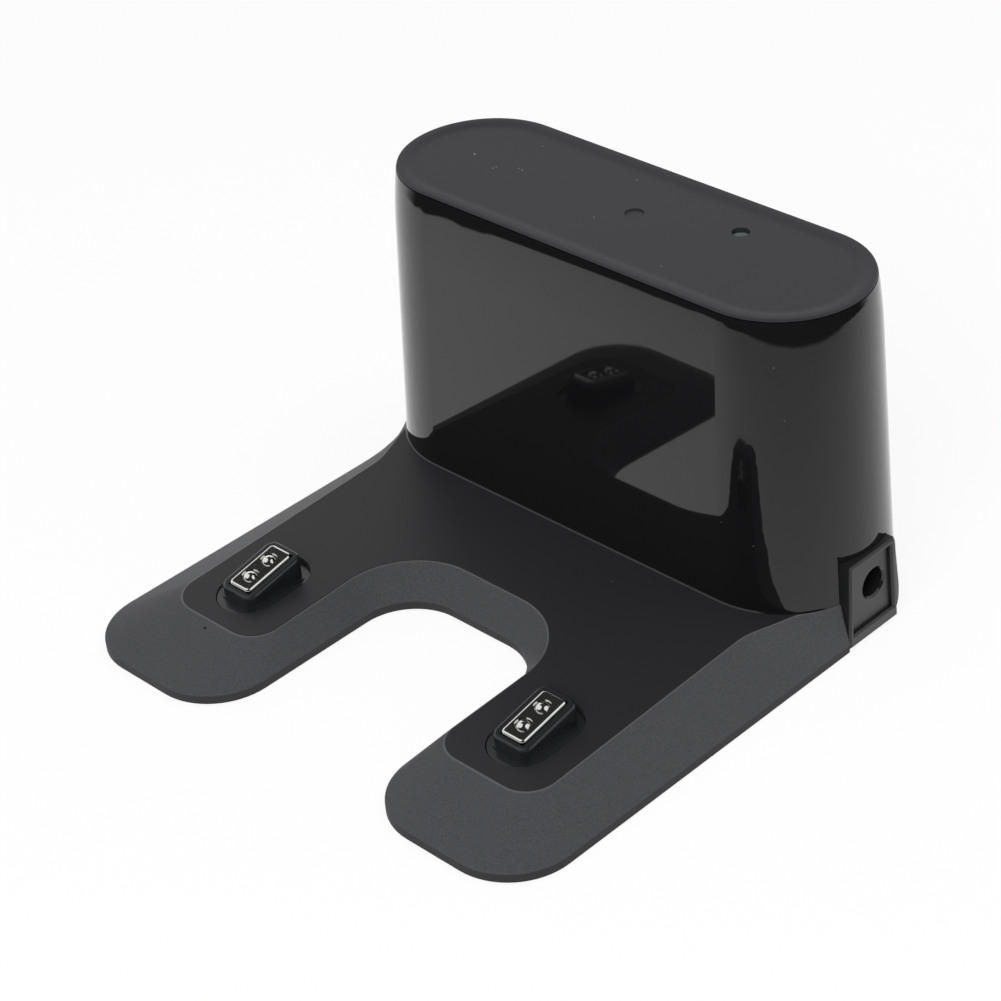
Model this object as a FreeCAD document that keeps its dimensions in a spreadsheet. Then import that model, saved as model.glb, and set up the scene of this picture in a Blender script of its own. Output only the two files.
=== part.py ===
"""Charging dock of a robot vacuum: a horseshoe ramp with two sprung contact heads and a tower behind it.

Millimetres, +Z up. The prongs point to -Y and the tower stands at +Y. The origin is the centre of the
footprint, on the surface that the rubber feet stand on. Heights in the sheet are measured from the base's
lower edge and places "from front" from the prongs' front edge, unless their name says otherwise.
"""
import FreeCAD, Part
import math
import os
import re
import Sketcher
from FreeCAD import Placement, Rotation, Vector

DIMENSIONS = {
    # Base: the outline on the floor, the vertical edge wall and the sloping plateau
    "base_width": 150.0,
    "base_depth": 152.1,
    "foot_proud": 0.6,
    "edge_height": 2.4,
    "edge_round": 0.5,
    "front_corner": 17.0,
    "slot_width": 49.0,
    "slot_depth": 65.8,
    "slot_corner": 15.0,
    "side_run": 13.6,
    "front_run": 19.9,
    "slot_run": 5.5,
    "plateau_height": 8.9,
    "plateau_slope": 2.27,
    "plateau_corner": 7.9,
    "plateau_round": 0.8,
    "flare_setback": 35.1,
    "flare_radius": 15.5,
    "flare_meet": 43.8,
    "base_wall": 2.0,
    "skirt_front_wall": 3.5,
    "skirt_side_wall": 2.5,
    "top_inset": 1.2,
    "plate_thickness": 1.8,
    "fit_gap": 0.25,
    # Tower: a stadium that narrows as it rises, with a fine bead at its foot and a rounded shoulder
    "tower_height": 90.2,
    "tower_margin": 0.9,
    "tower_foot_radius": 26.2,
    "tower_end_draft": 3.8,
    "tower_front_draft": 3.07,
    "foot_bead": 0.3,
    "shoulder_height": 16.4,
    "shoulder_inset": 1.13,
    "tower_wall": 2.0,
    "tower_ledge": 5.0,
    "post_shift": 5.35,
    "front_post_ahead": 16.9,
    "rear_post_behind": 17.2,
    "post_diameter": 7.0,
    "post_height": 24.0,
    "rib_thickness": 2.0,
    "rib_lift": 2.0,
    # Lid: a plate on the tower's top edge, dished inside a soft rim
    "lid_edge": 0.9,
    "lid_plate": 1.8,
    "seam_gap": 0.25,
    "seam_depth": 0.9,
    "rim_width": 0.8,
    "rim_run": 3.6,
    "rim_depth": 0.6,
    "spigot_depth": 4.0,
    "spigot_wall": 1.5,
    "mark_x": 1.3,
    "mark_behind": 1.4,
    "mark_diameter": 4.8,
    "mark_depth": 0.4,
    "light_x": 27.5,
    "light_behind": 9.5,
    "light_hole": 4.4,
    "lens_gap": 0.2,
    "lens_sink": 0.7,
    "lens_collar": 1.2,
    "lens_collar_diameter": 6.2,
    "indicator_board_length": 24.0,
    "indicator_board_width": 12.0,
    "indicator_board_drop": 6.0,
    "stand_diameter": 5.4,
    "stand_spacing": 17.0,
    "led_diameter": 3.0,
    "led_height": 2.4,
    # Power inlet on the right side
    "inlet_bottom": 0.4,
    "inlet_top": 24.0,
    "inlet_ahead": 9.5,
    "inlet_width": 18.5,
    "inlet_front_lean": 0.0,
    "inlet_back_lean": 3.9,
    "inlet_depth": 7.0,
    "inlet_frame": 1.6,
    "inlet_sill": 3.4,
    "inlet_recess": 1.2,
    "inlet_hole": 7.6,
    "inlet_hole_height": 14.0,
    "inlet_hole_behind": 0.75,
    "inlet_edge_round": 0.5,
    "inlet_lug_length": 8.0,
    "inlet_lug_width": 8.0,
    "inlet_lug_height": 6.0,
    "jack_bore": 6.0,
    "jack_bore_depth": 8.0,
    "jack_length": 10.0,
    "jack_width": 9.0,
    "jack_height": 10.0,
    "pin_diameter": 2.0,
    "pin_sink": 1.5,
    # Contact heads
    "contact_shift": 0.65,
    "contact_from_front": 37.4,
    "pocket_width": 16.8,
    "pocket_length": 25.9,
    "collar_bottom": 6.4,
    "collar_wall": 1.4,
    "collar_top": 8.6,
    "head_gap": 0.3,
    "stop_gap": 0.1,
    "head_top": 8.8,
    "head_lip": 1.2,
    "head_lip_thickness": 1.2,
    "block_from_front": 28.2,
    "block_width": 11.4,
    "block_length": 18.3,
    "block_corner": 2.5,
    "block_round": 0.7,
    "block_step": 0.35,
    "block_front_height": 12.05,
    "block_tilt": 11.4,
    "plate_start": 1.5,
    "plate_width": 7.2,
    "plate_length": 15.4,
    "plate_corner": 1.2,
    "plate_proud": 0.8,
    "plate_depth": 1.0,
    "plate_round": 0.7,
    "plate_gap": 0.15,
    "dome_spacing": 6.45,
    "dome_start": 4.2,
    "dome_diameter": 3.5,
    "dome_height": 1.2,
    "dish_diameter": 4.7,
    "dish_depth": 0.3,
    "stem_diameter": 2.4,
    "stem_gap": 0.3,
    "rivet_diameter": 5.4,
    "rivet_thickness": 0.6,
    "spring_bore": 7.2,
    "spring_bore_top": 10.6,
    "spring_diameter": 6.0,
    "spring_wire": 0.6,
    "spring_turns": 3.0,
    "terminal_thickness": 0.5,
    "terminal_diameter": 8.0,
    "terminal_gap": 0.3,
    "terminal_tail": 16.5,
    "terminal_tail_width": 4.0,
    "terminal_tab": 3.0,
    # Screws and feet
    "screw_shank": 2.4,
    "screw_head": 4.8,
    "screw_head_height": 1.0,
    "screw_length": 4.8,
    "screw_gap": 0.3,
    "screw_seat": 1.1,
    "pilot_top": 6.4,
    "boss_diameter": 6.4,
    "front_boss_from_front": 17.3,
    "rear_boss_ahead": 7.0,
    "rear_boss_shift": 8.35,
    "foot_diameter": 10.0,
    "foot_recess": 0.6,
    "foot_gap": 0.3,
    "foot_inset": 17.0,
    "front_foot_from_front": 21.0,
    # Board, its bracket and the infrared emitters behind the tower's front wall
    "board_width": 62.0,
    "board_thickness": 1.6,
    "board_lift": 20.0,
    "board_head_room": 26.0,
    "board_ahead": 11.65,
    "board_hole_inset": 4.0,
    "connector_inset": 1.0,
    "connector_width": 6.0,
    "connector_depth": 7.0,
    "connector_low": 28.0,
    "connector_height": 6.0,
    "power_connector_height": 15.0,
    "bracket_thickness": 2.0,
    "bracket_foot": 14.0,
    "bracket_stand": 3.0,
    "bracket_boss_x": 22.0,
    "bracket_boss_height": 6.0,
    "emitter_pitch": 18.0,
    "emitter_diameter": 5.0,
    "emitter_length": 8.0,
    "emitter_nose": 2.0,
    "emitter_drop": 13.0,
    "emitter_gap": 0.3,
    "shade_depth": 6.0,
    "shade_height": 12.0,
    "shade_end": 2.5,
    # Leads inside the base and tower
    "lead_diameter": 1.6,
    "lead_lift": 1.4,
    "lead_ahead": 3.5,
    "contact_lead_height": 31.0,
    "power_lead_shift": 3.65,
    "power_lead_spacing": 3.5,
    "power_lead_height": 36.0,
}

# Sizes that follow from the ones above, each as a formula in the sheet
DERIVED = {
    "tower_foot_half": "base_width / 2 - tower_margin",
    "tower_from_front": "base_depth - tower_foot_radius - tower_margin",
    "tower_top_half": "tower_foot_half - tower_end_draft",
    "tower_top_radius": "tower_foot_radius - tower_front_draft",
    "flare_start": "tower_from_front - flare_setback",
    "front_post_from_front": "tower_from_front - front_post_ahead",
    "rear_post_from_front": "tower_from_front + rear_post_behind",
    "mark_from_front": "tower_from_front + mark_behind",
    "light_from_front": "tower_from_front + light_behind",
    "inlet_from_front": "tower_from_front - inlet_ahead",
    "inlet_hole_from_front": "tower_from_front + inlet_hole_behind",
    "contact_x": "(slot_width / 2 + slot_run + base_width / 2 - side_run) / 2 + contact_shift",
    "post_x": "contact_x - post_shift",
    "rear_boss_x": "contact_x - rear_boss_shift",
    "rear_boss_from_front": "slot_depth - rear_boss_ahead",
    "foot_x": "base_width / 2 - foot_inset",
    "rear_foot_from_front": "base_depth - foot_inset",
    "board_height": "tower_height - board_lift - board_head_room",
    "board_from_front": "tower_from_front - board_ahead",
    "emitter_height": "board_lift + board_height - emitter_drop",
    "shade_length": "2 * (emitter_pitch + emitter_diameter / 2 + emitter_gap + shade_end)",
    "lead_from_front": "board_from_front - lead_ahead",
    "power_lead_x": "contact_x + power_lead_shift",
}

doc = FreeCAD.newDocument("charging_dock")
sheet = doc.addObject("Spreadsheet::Sheet", "Sizes")
for row, (alias, value) in enumerate(DIMENSIONS.items(), start=1):
    sheet.set(f"A{row}", alias)
    sheet.set(f"B{row}", str(value))
    sheet.setAlias(f"B{row}", alias)
for row, (alias, text) in enumerate(DERIVED.items(), start=1):
    sheet.set(f"D{row}", alias)
    sheet.set(f"E{row}", "=" + text)
    sheet.setAlias(f"E{row}", alias)
workings = doc.addObject("Spreadsheet::Sheet", "Workings")
doc.recompute()

nodes = {}


def size(name):
    """A driving dimension, read from the sheet."""
    return float(sheet.get(name))


def formula(text):
    """The text as a document expression, with each driving dimension looked up in the sheet."""
    known = DIMENSIONS.keys() | DERIVED.keys()
    return re.sub(r"[a-z_]\w*", lambda word: "Sizes." + word[0] if word[0] in known else word[0], text)


def number(text):
    """The value of an expression made of sizes, worked out in a cell of its own."""
    workings.set("A1", "=" + formula(text))
    workings.recompute()
    value = workings.get("A1")
    return float(getattr(value, "Value", value))


def bind(item, **properties):
    for name, text in properties.items():
        item.setExpression(name, formula(text))


def place(item, x="0", y="0", z="0", axis=None, angle="0"):
    if axis:
        item.Placement = Placement(Vector(), Rotation(axis, 45))
        item.setExpression("Placement.Rotation.Angle", formula(angle))
    for letter, text in zip("xyz", (x, y, z)):
        item.setExpression("Placement.Base." + letter, formula(text))
    return item


def from_front(place_name):
    """The model's Y of a place that is measured from the prongs' front edge."""
    return f"({place_name} - base_depth / 2)"


def box(name, length, width, height, **where):
    item = doc.addObject("Part::Box", name)
    bind(item, Length=length, Width=width, Height=height)
    return place(item, **where)


def cylinder(name, radius, height, **where):
    item = doc.addObject("Part::Cylinder", name)
    bind(item, Radius=radius, Height=height)
    return place(item, **where)


def cone(name, radius, tip, height, **where):
    item = doc.addObject("Part::Cone", name)
    bind(item, Radius1=radius, Radius2=tip, Height=height)
    return place(item, **where)


def join(name, pieces):
    item = doc.addObject("Part::MultiFuse", name)
    item.Shapes = list(pieces)
    item.Refine = True
    return item


def cut(name, base, tools):
    item = doc.addObject("Part::Cut", name)
    item.Base = base
    item.Tool = tools[0] if len(tools) == 1 else join(name + "_tools", tools)
    item.Refine = True
    return item


def common(name, one, other):
    item = doc.addObject("Part::Common", name)
    item.Base = one
    item.Tool = other
    item.Refine = True
    return item


def group(name, pieces):
    item = doc.addObject("Part::Compound", name)
    item.Links = list(pieces)
    return item


def node(item, name):
    """Gives a finished sub-part its label, which also names its file."""
    item.Label = name
    nodes[name] = item
    return item


def feature(name, shape):
    item = doc.addObject("Part::Feature", name)
    item.Shape = shape
    return item


def stadium_prism(name, width, length, height, x, y, z):
    """An upright oval block, its long axis along Y."""
    straight = f"({length}) - ({width})"
    pieces = [box(name + "_middle", width, straight, height,
                  x=f"{x} - ({width}) / 2", y=f"{y} - ({straight}) / 2", z=z)]
    for end, sign in (("front", "-"), ("back", "+")):
        pieces.append(cylinder(f"{name}_{end}", f"({width}) / 2", height,
                               x=x, y=f"{y} {sign} ({straight}) / 2", z=z))
    return join(name, pieces)


LOW = "foot_proud"
PLATE_TOP = "(foot_proud + plate_thickness)"
PLANE_AT_FRONT = "(foot_proud + plateau_height - front_run * tan(plateau_slope))"
X_AXIS = Vector(1, 0, 0)
Y_AXIS = Vector(0, 1, 0)
DISH_SLOPE = ((1.0, 1.0), (0.75, 0.85), (0.5, 0.5), (0.25, 0.15), (-0.1, -0.06))
SIDES = (("left", -1), ("right", 1))


# Base: outlines of the horseshoe

def level_plane(height):
    return Placement(Vector(0, -size("base_depth") / 2, height), Rotation())


def plateau_plane(lower=0.0):
    """The sloping plateau; its local origin is above the middle of the base's front edge."""
    slope = size("plateau_slope")
    rise = size("front_run") * math.tan(math.radians(slope))
    height = size("foot_proud") + size("plateau_height") - rise - lower
    return Placement(Vector(0, -size("base_depth") / 2, height), Rotation(X_AXIS, slope))


def line(start, end):
    return Part.LineSegment(Vector(*start, 0), Vector(*end, 0)).toShape()


def arc(centre, radius, start, end):
    """An arc from one angle to another, in degrees, the short way that the two name."""
    points = []
    for angle in (start, (start + end) / 2, end):
        turn = math.radians(angle)
        points.append(Vector(centre[0] + radius * math.cos(turn), centre[1] + radius * math.sin(turn), 0))
    return Part.Arc(*points).toShape()


def flare(side, tower):
    """Where the plateau's edge bends out to the tower: the bend's angle, its end and the meeting point."""
    half, radius, centre = tower
    turn = math.radians(-size("flare_meet"))
    meet = (half - radius + radius * math.cos(turn), centre + radius * math.sin(turn))
    bend = size("flare_radius")
    hub = (side + bend, size("flare_start"))
    away = math.hypot(meet[0] - hub[0], meet[1] - hub[1])
    touch = math.atan2(meet[1] - hub[1], meet[0] - hub[0]) + math.acos(bend / away)
    end = (hub[0] + bend * math.cos(touch), hub[1] + bend * math.sin(touch))
    return math.degrees(touch), end, meet


def horseshoe(front, side, slot_side, slot_back, corners, tower, flared):
    """A closed outline with the same 24 edges at every level, symmetric about the middle."""
    outer, inner, deep = corners
    half, radius, centre = tower
    start = size("flare_start")
    tower_x = half - radius
    if flared:
        bend = size("flare_radius")
        touch, end, meet = flare(side, tower)
        waist = [arc((side + bend, start), bend, 180, touch), line(end, meet),
                 arc((tower_x, centre), radius, -size("flare_meet"), 0)]
    else:
        touch, end, meet = flare(size("base_width") / 2 - size("side_run"), tower_foot())
        waist = [line((side, start), (side, end[1])), line((side, end[1]), (side, meet[1])),
                 line((side, meet[1]), (side, centre))]
    right = [
        line((0, slot_back), (slot_side - deep, slot_back)),
        arc((slot_side - deep, slot_back - deep), deep, 90, 0),
        line((slot_side, slot_back - deep), (slot_side, front + inner)),
        arc((slot_side + inner, front + inner), inner, 180, 270),
        line((slot_side + inner, front), (side - outer, front)),
        arc((side - outer, front + outer), outer, -90, 0),
        line((side, front + outer), (side, start)),
        *waist,
        arc((tower_x, centre), radius, 0, 90),
        line((tower_x, centre + radius), (0, centre + radius)),
    ]
    left = [edge.mirror(Vector(), X_AXIS) for edge in reversed(right)]
    return right + left


def tower_foot(inset=0.0):
    """Half length, end radius and centre of the tower's outline where it meets the plateau."""
    return (size("tower_foot_half") - inset, size("tower_foot_radius") - inset, size("tower_from_front"))


def floor_outline(height, front=0.0, side=0.0, slot=0.0, back=0.0):
    """The base's outline on the floor, with its edges set in, at one height."""
    half = size("base_width") / 2
    radius = size("tower_foot_radius") + size("tower_margin")
    corner = size("front_corner")
    edges = horseshoe(front, half - side, size("slot_width") / 2 + slot, size("slot_depth") + slot,
                      (corner - side, corner - side, size("slot_corner") + slot),
                      (half - side, radius - back, size("base_depth") - radius), False)
    return [edge.transformed(level_plane(height).toMatrix()) for edge in edges]


def plateau_outline(lower=0.0, inset=0.0, back=0.0):
    """The plateau's outline on its slope, set in and lowered for the inside of the wall."""
    corner = size("plateau_corner") - inset
    slot = size("slot_run") + inset
    edges = horseshoe(size("front_run") + inset, size("base_width") / 2 - size("side_run") - inset,
                      size("slot_width") / 2 + slot, size("slot_depth") + slot,
                      (corner, corner, size("slot_corner") + slot), tower_foot(back), True)
    return [edge.transformed(plateau_plane(lower).toMatrix()) for edge in edges]


def skin(low, high):
    """A closed solid between two outlines of as many edges, with ruled sides."""
    sides = [Part.makeRuledSurface(one, other) for one, other in zip(low, high)]
    shell = Part.Shell(sides + [Part.Face(Part.Wire(low)), Part.Face(Part.Wire(high))])
    shell.sewShape()
    return Part.Solid(Part.Shell(shell.Faces))


def base_solid():
    """The whole outer form of the base: edge wall below, ruled skirt and sloping plateau above."""
    seam = size("foot_proud") + size("edge_height")
    wall = Part.Face(Part.Wire(floor_outline(size("foot_proud")))).extrude(Vector(0, 0, size("edge_height")))
    solid = wall.fuse(skin(floor_outline(seam), plateau_outline())).removeSplitter().Solids[0]
    reach = flare(size("base_width") / 2 - size("side_run"), tower_foot())[2][1]
    solid = solid.makeFillet(size("plateau_round"), edges_on(solid, plateau_plane(), reach))
    return solid.makeFillet(size("edge_round"), edges_on(solid, level_plane(seam), reach))


def edges_on(solid, plane, reach):
    """The edges that lie in a plane, no further back than the tower's meeting point."""
    found = []
    for edge in solid.Edges:
        points = [plane.inverse().multVec(vertex.Point) for vertex in edge.Vertexes]
        if max(abs(point.z) for point in points) < 1e-4 and max(point.y for point in points) < reach + 1e-3:
            found.append(edge)
    return found


def base_hollow():
    """The room under the base's wall, open below; its lowest step takes the bottom plate."""
    wall = size("base_wall")
    low = size("foot_proud")
    step = low + size("plate_thickness")
    well = Part.Face(Part.Wire(floor_outline(low, wall, wall, wall, wall)))
    room = skin(floor_outline(step, size("skirt_front_wall"), size("skirt_side_wall"), wall, wall),
                plateau_outline(wall, size("top_inset"), wall))
    return well.extrude(Vector(0, 0, size("plate_thickness"))).fuse(room).removeSplitter()


def plate_blank():
    gap = size("base_wall") + size("fit_gap")
    outline = Part.Wire(floor_outline(size("foot_proud"), gap, gap, gap, gap))
    return Part.Face(outline).extrude(Vector(0, 0, size("plate_thickness")))


base_outer = feature("base_outer", base_solid())
base_room = feature("base_room", base_hollow())
bottom_blank = feature("bottom_blank", plate_blank())


# Tower and lid: stadium sections that narrow with height

def shoulder_levels(low, high, steps):
    """Distances below the rim, evenly spaced along the shoulder's quarter round."""
    height = size("shoulder_height")
    first, last = (math.asin(1 - below / height) for below in (low, high))
    turns = [first + (last - first) * step / steps for step in range(steps + 1)]
    return [height * (1 - math.sin(turn)) for turn in turns]


def shoulder_factor(below):
    """How much of the shoulder's inset applies at a distance below the rim."""
    share = min(max(below / size("shoulder_height"), 0.0), 1.0)
    return 1 - math.sqrt(1 - (1 - share) ** 2)


def tower_section(below, inset=0.0):
    """The tower's outline at a distance below the rim; it turns from the plateau's slope to level."""
    drop = tower_drop()
    shoulder = size("shoulder_height")
    up = 1 - below / drop
    tilt = size("plateau_slope") * max(0.0, (below - shoulder) / (drop - shoulder))
    height = size("foot_proud") + size("tower_height") - below
    centre = Vector(0, size("tower_from_front") - size("base_depth") / 2, height)
    plane = Placement(centre, Rotation(X_AXIS, tilt))
    inset = inset + size("shoulder_inset") * shoulder_factor(below)
    half = size("tower_foot_half") + (size("tower_top_half") - size("tower_foot_half")) * up - inset
    radius = size("tower_foot_radius") + (size("tower_top_radius") - size("tower_foot_radius")) * up - inset
    return stadium(plane, half, radius)


def tower_drop():
    """Height of the rim over the middle of the tower's foot."""
    behind_edge = size("tower_from_front") - size("front_run")
    foot = size("plateau_height") + behind_edge * math.tan(math.radians(size("plateau_slope")))
    return size("tower_height") - foot


def stadium(plane, half, radius):
    reach = half - radius
    edges = [line((-reach, -radius), (reach, -radius)), arc((reach, 0), radius, -90, 90),
             line((reach, radius), (-reach, radius)), arc((-reach, 0), radius, 90, 270)]
    return Part.Wire([edge.transformed(plane.toMatrix()) for edge in edges])


def tower_loft(levels, inset=0.0, ruled=False):
    return Part.makeLoft([tower_section(below, inset) for below in levels], True, ruled)


def tower_form():
    """The tower's outer solid: a fine bead round its foot, straight sides and the rounded shoulder."""
    bead = size("foot_bead")
    shoulder = size("shoulder_height")
    foot = tower_drop()
    sections = [tower_section(foot), tower_section(foot - bead, bead), tower_section(shoulder)]
    straight = Part.makeLoft(sections, True, True)
    return straight.fuse(tower_loft(shoulder_levels(shoulder, size("lid_edge"), 5))).removeSplitter()


def tower_hollow():
    """The room inside the tower's wall, open below and above."""
    wall = size("tower_wall")
    return tower_loft([tower_drop() + wall, size("shoulder_height"), 0.0], wall, True)


def dish():
    """The lid's sunk field: a soft slope inside the rim, steepest at its middle, down to the flat."""
    rim = size("foot_proud") + size("tower_height")
    sections = []
    for along, sunk in DISH_SLOPE:
        height = rim - size("rim_depth") * sunk
        sections.append(lid_section(height, size("rim_width") + size("rim_run") * along))
    return Part.makeLoft(sections, True, True)


def lid_section(height, inset):
    """The lid's outline at its rim, set in, at any height."""
    plane = level_plane(height).multiply(Placement(Vector(0, size("tower_from_front"), 0), Rotation()))
    inset = inset + size("shoulder_inset")
    return stadium(plane, size("tower_top_half") - inset, size("tower_top_radius") - inset)


def lid_prism(low, high, inset):
    return Part.Face(lid_section(low, inset)).extrude(Vector(0, 0, high - low))


def lid_blank():
    """Rim and plate in one, with a shadow gap over the tower's edge and a spigot inside its wall."""
    rim = size("foot_proud") + size("tower_height")
    seat = rim - size("lid_edge")
    flat = rim - size("rim_depth") - size("lid_plate")
    edge = size("lid_edge")
    crown = tower_loft(shoulder_levels(edge - size("seam_gap"), 0.0, 4))
    plug_inset = size("tower_wall") + size("fit_gap")
    low = seat - size("spigot_depth")
    seat_ring = lid_prism(seat, rim, size("seam_depth"))
    plug = lid_prism(low, rim, plug_inset)
    hollow = lid_prism(low, flat, plug_inset + size("spigot_wall"))
    return crown.fuse([seat_ring, plug]).cut([hollow, dish()]).removeSplitter()


tower_outer = feature("tower_outer", tower_form())
tower_room = feature("tower_room", tower_hollow())
lid_form = feature("lid_form", lid_blank())
ledge = size("tower_ledge")
tower_opening = feature("tower_opening", Part.makeLoft(
    [tower_section(tower_drop() + end * ledge, ledge) for end in (-1, 1)], True, True))


# Screws: all of one size, driven upwards from below

def screw(name, x, y, seat):
    """A pan-head screw with its head's underside at the seat, pointing up."""
    body = doc.addObject("PartDesign::Body", name)
    sketch = body.newObject("Sketcher::SketchObject", name + "_profile")
    plane = next(item for item in body.Origin.OriginFeatures if item.Role == "XZ_Plane")
    sketch.AttachmentSupport = [(plane, "")]
    sketch.MapMode = "FlatFace"
    head = "screw_head / 2"
    shank = "screw_shank / 2"
    corners = [("0", "-screw_head_height"), (head, "-screw_head_height"), (head, "0"),
               (shank, "0"), (shank, "screw_length"), ("0", "screw_length")]
    polygon(sketch, corners)
    turn = body.newObject("PartDesign::Revolution", name + "_turned")
    turn.Profile = sketch
    turn.ReferenceAxis = (sketch, ["V_Axis"])
    turn.Angle = 360
    return place(body, x=x, y=y, z=seat)


def polygon(sketch, corners):
    """Closed straight-sided profile with every corner placed from the sketch's origin by its formulas."""
    points = [Vector(number(x), number(y), 0) for x, y in corners]
    count = len(points)
    for index, point in enumerate(points):
        sketch.addGeometry(Part.LineSegment(point, points[(index + 1) % count]))
    for index in range(count):
        sketch.addConstraint(Sketcher.Constraint("Coincident", index, 2, (index + 1) % count, 1))
    for index, (x, y) in enumerate(corners):
        for kind, text, value in (("DistanceX", x, points[index].x), ("DistanceY", y, points[index].y)):
            made = sketch.addConstraint(Sketcher.Constraint(kind, -1, 1, index, 1, value))
            sketch.setExpression(f"Constraints[{made}]", formula(text))


def plane_of(body, role):
    return next(item for item in body.Origin.OriginFeatures if item.Role == role)


def edge_names(shape, wanted):
    """Names of the edges that a test picks out."""
    return [f"Edge{index}" for index, edge in enumerate(shape.Edges, start=1) if wanted(edge)]


def spread(edge, axis):
    """How far an edge's ends and middle differ along one axis."""
    points = [vertex.Point for vertex in edge.Vertexes] + [edge.CenterOfMass]
    values = [getattr(point, axis) for point in points]
    return max(values) - min(values)


def dress(body, kind, base, edges, amount):
    """A fillet or chamfer on named edges of a body's feature."""
    item = body.newObject("PartDesign::" + kind, f"{body.Name}_{kind.lower()}_{len(body.Group)}")
    item.Base = (base, edges)
    bind(item, **{"Radius" if kind == "Fillet" else "Size": amount})
    doc.recompute()
    return item


# Power inlet: a framed panel let into the tower's and the base's right side

INLET_BACK_PLANE = "(base_width / 2 - inlet_depth)"
INLET_HOLE_Y = from_front("inlet_hole_from_front")
INLET_HOLE_Z = "(foot_proud + inlet_hole_height)"


def inlet_corners(low, high, front, back):
    """Corners of the inlet's leaning outline between two heights, with its sides set in."""
    corners = []
    for height, ends in ((low, ("front", "back")), (high, ("back", "front"))):
        for end in ends:
            start = "inlet_from_front" if end == "front" else "inlet_from_front + inlet_width"
            inset = f"+ ({front})" if end == "front" else f"- ({back})"
            lean = f"(({height}) - inlet_bottom) * tan(inlet_{end}_lean)"
            corners.append((f"{start} {inset} - {lean} - base_depth / 2", f"foot_proud + {height}"))
    return corners


def side_block(name, corners, start, length):
    """A body with a straight-sided outline in the YZ plane, padded towards +X."""
    body = doc.addObject("PartDesign::Body", name)
    pad = body.newObject("PartDesign::Pad", name + "_pad")
    pad.Profile = side_sketch(body, name + "_outline", start)
    polygon(pad.Profile[0], corners)
    bind(pad, Length=length)
    doc.recompute()
    return body, pad


def side_sketch(body, name, offset):
    sketch = body.newObject("Sketcher::SketchObject", name)
    sketch.AttachmentSupport = [(plane_of(body, "YZ_Plane"), "")]
    sketch.MapMode = "FlatFace"
    sketch.setExpression("AttachmentOffset.Base.z", formula(offset))
    return sketch


def inlet_panel():
    """The inlet's block with its recessed panel and hole; every front edge is bevelled."""
    body, pad = side_block("inlet_block", inlet_corners("inlet_bottom", "inlet_top", "0", "0"),
                           INLET_BACK_PLANE, "inlet_depth")
    recess = side_sketch(body, "inlet_recess_outline", "base_width / 2")
    polygon(recess, inlet_corners("(inlet_bottom + inlet_sill)", "(inlet_top - inlet_frame)",
                                  "inlet_frame", "inlet_frame"))
    pocket = body.newObject("PartDesign::Pocket", "inlet_recess_pocket")
    pocket.Profile = recess
    bind(pocket, Length="inlet_recess")
    hole_sketch = side_sketch(body, "inlet_hole_outline", "base_width / 2")
    centre = Vector(number(INLET_HOLE_Y), number(INLET_HOLE_Z), 0)
    hole_sketch.addGeometry(Part.Circle(centre, Vector(0, 0, 1), size("inlet_hole") / 2))
    for kind, text, value in (("DistanceX", INLET_HOLE_Y, centre.x), ("DistanceY", INLET_HOLE_Z, centre.y)):
        made = hole_sketch.addConstraint(Sketcher.Constraint(kind, -1, 1, 0, 3, value))
        hole_sketch.setExpression(f"Constraints[{made}]", formula(text))
    made = hole_sketch.addConstraint(Sketcher.Constraint("Diameter", 0, size("inlet_hole")))
    hole_sketch.setExpression(f"Constraints[{made}]", formula("inlet_hole"))
    hole = body.newObject("PartDesign::Pocket", "inlet_hole_pocket")
    hole.Profile = hole_sketch
    hole.Type = "ThroughAll"
    doc.recompute()
    front = size("base_width") / 2
    panel = front - size("inlet_recess")
    rim = edge_names(hole.Shape, lambda edge: spread(edge, "x") < 1e-4
                     and abs(edge.CenterOfMass.x - front) < 1e-4)
    bevel = dress(body, "Chamfer", hole, rim, "inlet_edge_round")
    lip = edge_names(bevel.Shape, lambda edge: edge.Curve.TypeId == "Part::GeomCircle"
                     and abs(edge.CenterOfMass.x - panel) < 1e-4)
    dress(body, "Chamfer", bevel, lip, "inlet_edge_round")
    return body


inlet_body = inlet_panel()
inlet_lug = box("inlet_lug", "inlet_lug_length", "inlet_lug_width", "inlet_lug_height",
                x=f"{INLET_BACK_PLANE} - inlet_lug_length", y=f"{INLET_HOLE_Y} - inlet_lug_width / 2",
                z=PLATE_TOP)
inlet_foot = box("inlet_foot", "inlet_depth / 2", "inlet_lug_width", "inlet_lug_height",
                 x=INLET_BACK_PLANE, y=f"{INLET_HOLE_Y} - inlet_lug_width / 2", z=PLATE_TOP)
LUG_X = f"({INLET_BACK_PLANE} - inlet_lug_length / 2)"
notch_corners = inlet_corners("(inlet_bottom - base_wall)", "(inlet_top + fit_gap)",
                              "0 - fit_gap", "0 - fit_gap")
notch, notch_pad = side_block("inlet_notch", notch_corners, f"{INLET_BACK_PLANE} - fit_gap",
                              "inlet_depth + base_wall")

jack_box = box("jack_box", "jack_length", "jack_width", "jack_height", x=f"{INLET_BACK_PLANE} - jack_length",
               y=f"{INLET_HOLE_Y} - jack_width / 2", z=f"{INLET_HOLE_Z} - jack_height / 2")
JACK_BORE_END = f"({INLET_BACK_PLANE} - jack_bore_depth)"
jack_bore = cylinder("jack_bore_tool", "jack_bore / 2", "jack_bore_depth", x=JACK_BORE_END,
                     y=INLET_HOLE_Y, z=INLET_HOLE_Z, axis=Y_AXIS, angle="90")
node(cut("jack_body", jack_box, [jack_bore]), "dc_jack")
node(cylinder("jack_pin", "pin_diameter / 2", "jack_bore_depth - pin_sink", x=JACK_BORE_END,
              y=INLET_HOLE_Y, z=INLET_HOLE_Z, axis=Y_AXIS, angle="90"), "dc_pin")


# Screw places, as X and Y

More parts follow.
